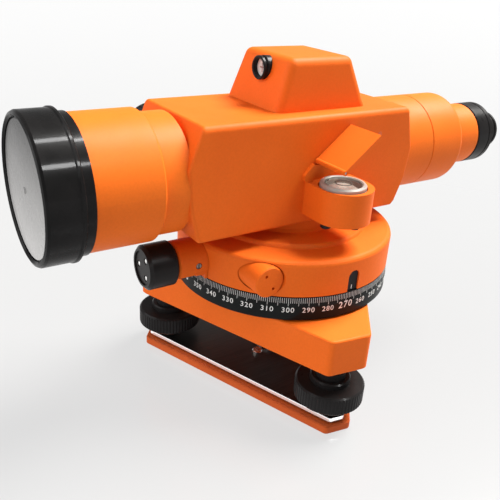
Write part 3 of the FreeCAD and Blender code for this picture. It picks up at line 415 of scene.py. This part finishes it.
circle_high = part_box("graduated_circle")[1]
CIRCLE_R = circle_high.x
TAPER_START = circle_high.z - 5.0 * MM
TAPER_END = circle_high.z - 0.3 * MM
TAPER_DEPTH = 0.45 * MM
PROUD = 0.03 * MM          # how far the paint of the engraving stands on the black
SUNK = 0.15 * MM           # how deep it reaches into the black
FIGURE_OFFSET = 268        # the figure that faces +X
TICK_TOP = circle_high.z - 0.35 * MM
TICK_HALF_WIDTH = 0.115 * MM
SHORT_TICK, LONG_TICK = 2.7 * MM, 4.1 * MM
FIGURE_FOOT = circle_high.z - 7.9 * MM
FIGURE_HEIGHT, CHIEF_HEIGHT = 2.8 * MM, 3.7 * MM
DIGIT_SHARE = 0.73         # a digit's height in the font, as a share of the font's size
DIGIT_SPACING = 1.16
DIGIT_BOLDER = 0.025 * MM
FIGURE_HALF_THICK = 0.09 * MM


def surface_radius(z):
    """Radius of the circle's rim at a height: straight below, slightly tapered above."""
    share = min(1.0, max(0.0, (z - TAPER_START) / (TAPER_END - TAPER_START)))
    return CIRCLE_R - TAPER_DEPTH * share


def on_circle(degrees, along, z, lift):
    """Point on the circle's rim: along is measured round the rim from an angle."""
    radius = surface_radius(z)
    angle = math.radians(degrees) + along / radius
    reach = radius + lift
    return (reach * math.cos(angle), reach * math.sin(angle), z)


def make_graduations():
    """One line for each degree, longer at every fifth."""
    vertices, faces = [], []
    for figure in range(360):
        length = LONG_TICK if figure % 5 == 0 else SHORT_TICK
        degrees = FIGURE_OFFSET - figure
        first = len(vertices)
        for z in (TICK_TOP, TICK_TOP - length):
            for along in (-TICK_HALF_WIDTH, TICK_HALF_WIDTH):
                vertices.append(on_circle(degrees, along, z, PROUD))
                vertices.append(on_circle(degrees, along, z, -SUNK))
        a, b, c, d, e, f, g, h = range(first, first + 8)
        # a, c are the top's front corners; e, g the bottom's; b, d, f, h lie inside.
        faces += [(a, e, g, c), (b, d, h, f), (a, b, f, e), (c, g, h, d), (a, c, d, b), (e, f, h, g)]
    new_piece("circle_graduations", vertices, faces, fine_engraving, "circle")


def figure_mesh(text, height):
    """Flat solid figures, centred, as the mesh of a text of a given digit height."""
    curve = bpy.data.curves.new("figure", "FONT")
    curve.body = text
    curve.align_x = "CENTER"
    curve.size = height / DIGIT_SHARE
    curve.space_character = DIGIT_SPACING
    curve.offset = DIGIT_BOLDER
    curve.resolution_u = 3
    curve.extrude = FIGURE_HALF_THICK
    holder = add_object("figure", curve)
    mesh = bpy.data.meshes.new_from_object(holder)
    bpy.data.objects.remove(holder)
    bpy.data.curves.remove(curve)
    return mesh


def make_figures():
    """A number at every tenth degree, larger at the quarters, wrapped round the rim."""
    vertices, faces = [], []
    for figure in range(0, 360, 10):
        height = CHIEF_HEIGHT if figure % 90 == 0 else FIGURE_HEIGHT
        mesh = figure_mesh(str(figure), height)
        first = len(vertices)
        for vertex in mesh.vertices:
            x, y, z = vertex.co
            lift = PROUD if z > 0 else -SUNK
            vertices.append(on_circle(FIGURE_OFFSET - figure, x, FIGURE_FOOT + y, lift))
        faces += [tuple(first + index for index in polygon.vertices) for polygon in mesh.polygons]
        bpy.data.meshes.remove(mesh)
    new_piece("circle_figures", vertices, faces, engraving, "circle")


# ---- small marks and fillings ----

def make_vial_inside():
    """What shows through the vial's glass: its ring, the liquid and the bubble."""
    case_low, case_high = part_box("vial_case")
    glass_low, glass_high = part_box("vial_glass")
    centre = ((case_low.x + case_high.x) / 2, (case_low.y + case_high.y) / 2)
    ring_inner, ring_outer = 3.6 * MM, 4.3 * MM
    ring_proud, ring_sunk = 0.02 * MM, 0.12 * MM
    add_band("vial_ring", centre, ring_inner, ring_outer, glass_high.z - ring_sunk,
             glass_high.z + ring_proud, vial_ink, "alidade")
    up, across = (0, 0, 1), (1, 0, 0)
    gap_beside, gap_above = 0.05 * MM, 0.1 * MM
    liquid_r = (glass_high.x - glass_low.x) / 2 - gap_beside
    liquid_top = glass_low.z - gap_above
    liquid_height = 2.0 * MM
    # The liquid and the bubble glow a little: painted light in the vial's shaded inside.
    add_dome("vial_liquid", (*centre, liquid_top - liquid_height), up, across, liquid_r, liquid_height,
             vial_liquid, "alidade")
    bubble_r, bubble_height = 3.3 * MM, 0.45 * MM
    # The bubble lies a little off the middle, almost wholly in the liquid's top.
    bubble_at = (centre[0] - 0.2 * MM, centre[1] + 0.1 * MM, liquid_top - 0.4 * MM)
    add_dome("vial_bubble", bubble_at, up, across, bubble_r, bubble_height,
             vial_bubble, "alidade")


def make_sight_mark():
    """Cross that shows in the optical sight's lens."""
    low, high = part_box("sight_lens")
    x, z = (low.x + high.x) / 2, (low.z + high.z) / 2
    back = low.y + 0.2 * MM    # inside the lens
    # Half width, half height and how far each bar stands in front of the lens.
    for name, half_x, half_z, proud in (("upright", 0.3 * MM, 2.2 * MM, 0.05 * MM),
                                        ("level", 1.9 * MM, 0.35 * MM, 0.04 * MM)):
        add_bar("sight_mark_" + name, (x - half_x, low.y - proud, z - half_z),
                (x + half_x, back, z + half_z), reticle_ink, "alidade")


def make_reading_index():
    """White line in the reading window."""
    low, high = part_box("reading_window")
    y = (low.y + high.y) / 2
    half_width, proud, sunk = 0.22 * MM, 0.06 * MM, 0.2 * MM
    foot, top = low.z + 0.5 * MM, low.z + 2.7 * MM
    add_bar("reading_index", (high.x - sunk, y - half_width, foot),
            (high.x + proud, y + half_width, top), engraving, "alidade")


def make_knob_pins():
    """Bright metal domes in the three holes of the slow-motion knob's face: painted glints where its
    dimples catch the light.
    """
    low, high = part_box("motion_knob")
    x, z = (low.x + high.x) / 2, (low.z + high.z) / 2
    face_y = low.y + 1.5 * MM    # the recessed face
    glint_circle, glint_r, glint_height = 5.2 * MM, 1.5 * MM, 0.8 * MM
    for index, degrees in enumerate((60, 180, 300)):
        angle = math.radians(degrees)
        centre = (x + glint_circle * math.cos(angle), face_y, z + glint_circle * math.sin(angle))
        add_dome("knob_pin_%d" % index, centre, (0, -1, 0), (1, 0, 0), glint_r, glint_height,
                 looks["bright_screw"], "motion_knob")


def make_wall_filling():
    """Painted filling in the housing's wall beside the cover's foot."""
    centre = (28.55 * MM, 34.0 * MM, 137.6 * MM)
    radius, height = 1.5 * MM, 0.12 * MM
    add_dome("wall_filling", centre, (1, 0, 0), (0, 1, 0), radius, height,
             filled_orange, "alidade")


# ---- floor, light, camera ----

FLOOR_HALF = 14.0          # in metres: wide enough to fill the picture
FLOOR_GLOW = 0.675         # keeps the floor evenly pale round the object's shadow

SENSOR_MM, LENS_MM = 36.0, 45.11
CAMERA_PLACE = (0.2516, -0.19424, 0.21566)
CAMERA_HEADING = 145.467   # degrees from +X towards +Y
CAMERA_PITCH = -25.238     # degrees above the horizon
CAMERA_ROLL = 3.835        # degrees, anticlockwise seen from behind it

HORIZON_LIGHT, CEILING_LIGHT = 0.50, 0.30
HORIZON_UP_TO, CEILING_FROM = 0.08, 0.45    # upward share of a direction


def make_floor():
    half = FLOOR_HALF
    mesh = bpy.data.meshes.new("floor")
    mesh.from_pydata([(-half, -half, 0), (half, -half, 0), (half, half, 0), (-half, half, 0)], [],
                     [(0, 1, 2, 3)])
    s = Shader("floor_look")
    s.set(Base_Color=rgba((0.07, 0.07, 0.07)), Roughness=0.24, Specular_IOR_Level=0.34)
    s.set(Emission_Color=rgba((FLOOR_GLOW, FLOOR_GLOW, FLOOR_GLOW)), Emission_Strength=1.0)
    mesh.materials.append(s.material)
    add_object("floor", mesh)


def add_sun(name, source, strength, spread_degrees, colour=(1, 1, 1), only_highlights=False):
    """Even light from a direction, so that the floor's brightness doesn't fall off."""
    light = bpy.data.lights.new(name, "SUN")
    light.energy = strength
    light.angle = math.radians(spread_degrees)
    light.color = colour
    holder = add_object(name, light)
    holder.rotation_euler = Vector(source).to_track_quat("Z", "Y").to_euler()
    holder.visible_diffuse = not only_highlights


def make_lights():
    add_sun("key", (0.0, 0.54, 0.84), strength=8.8, spread_degrees=30.0, colour=(1.0, 0.985, 0.95))
    add_sun("high_strip", (0.03, 0.265, 0.96), strength=0.75, spread_degrees=6.5, only_highlights=True)
    add_sun("side_strip", (0.65, 0.265, 0.71), strength=0.9, spread_degrees=6.5, only_highlights=True)
    add_sun("front_fill", (-0.2, -0.9, 0.3), strength=2.5, spread_degrees=70.0)


def make_camera():
    camera = bpy.data.cameras.new("camera")
    camera.sensor_width, camera.lens = SENSOR_MM, LENS_MM
    camera.clip_start, camera.clip_end = 0.01, 50.0
    holder = add_object("camera", camera)
    # Without a rotation a camera looks straight down. Pitched up by 90 degrees, it faces +Y.
    heading = Matrix.Rotation(math.radians(CAMERA_HEADING - 90), 4, "Z")
    pitch = Matrix.Rotation(math.radians(CAMERA_PITCH + 90), 4, "X")
    roll = Matrix.Rotation(math.radians(CAMERA_ROLL), 4, "Z")
    holder.matrix_world = Matrix.Translation(CAMERA_PLACE) @ heading @ pitch @ roll
    bpy.context.scene.camera = holder


def make_world():
    """Pale wall round the horizon under a dimmer ceiling."""
    world = bpy.data.worlds.new("studio")
    world.use_nodes = True
    tree = world.node_tree
    background = tree.nodes["Background"]
    background.inputs["Color"].default_value = rgba((0.95, 0.955, 0.96))
    direction = tree.nodes.new("ShaderNodeTexCoord").outputs["Generated"]
    split = tree.nodes.new("ShaderNodeSeparateXYZ")
    tree.links.new(direction, split.inputs[0])
    fall = tree.nodes.new("ShaderNodeMapRange")
    fall.interpolation_type = "SMOOTHSTEP"
    fall.inputs["From Min"].default_value = HORIZON_UP_TO
    fall.inputs["From Max"].default_value = CEILING_FROM
    fall.inputs["To Min"].default_value = HORIZON_LIGHT
    fall.inputs["To Max"].default_value = CEILING_LIGHT
    tree.links.new(split.outputs["Z"], fall.inputs["Value"])
    tree.links.new(fall.outputs["Result"], background.inputs["Strength"])
    bpy.context.scene.world = world


make_graduations()
make_figures()
make_vial_inside()
make_sight_mark()
make_reading_index()
make_knob_pins()
make_wall_filling()
make_floor()
make_lights()
make_camera()
make_world()
bpy.context.scene.view_settings.view_transform = "Standard"
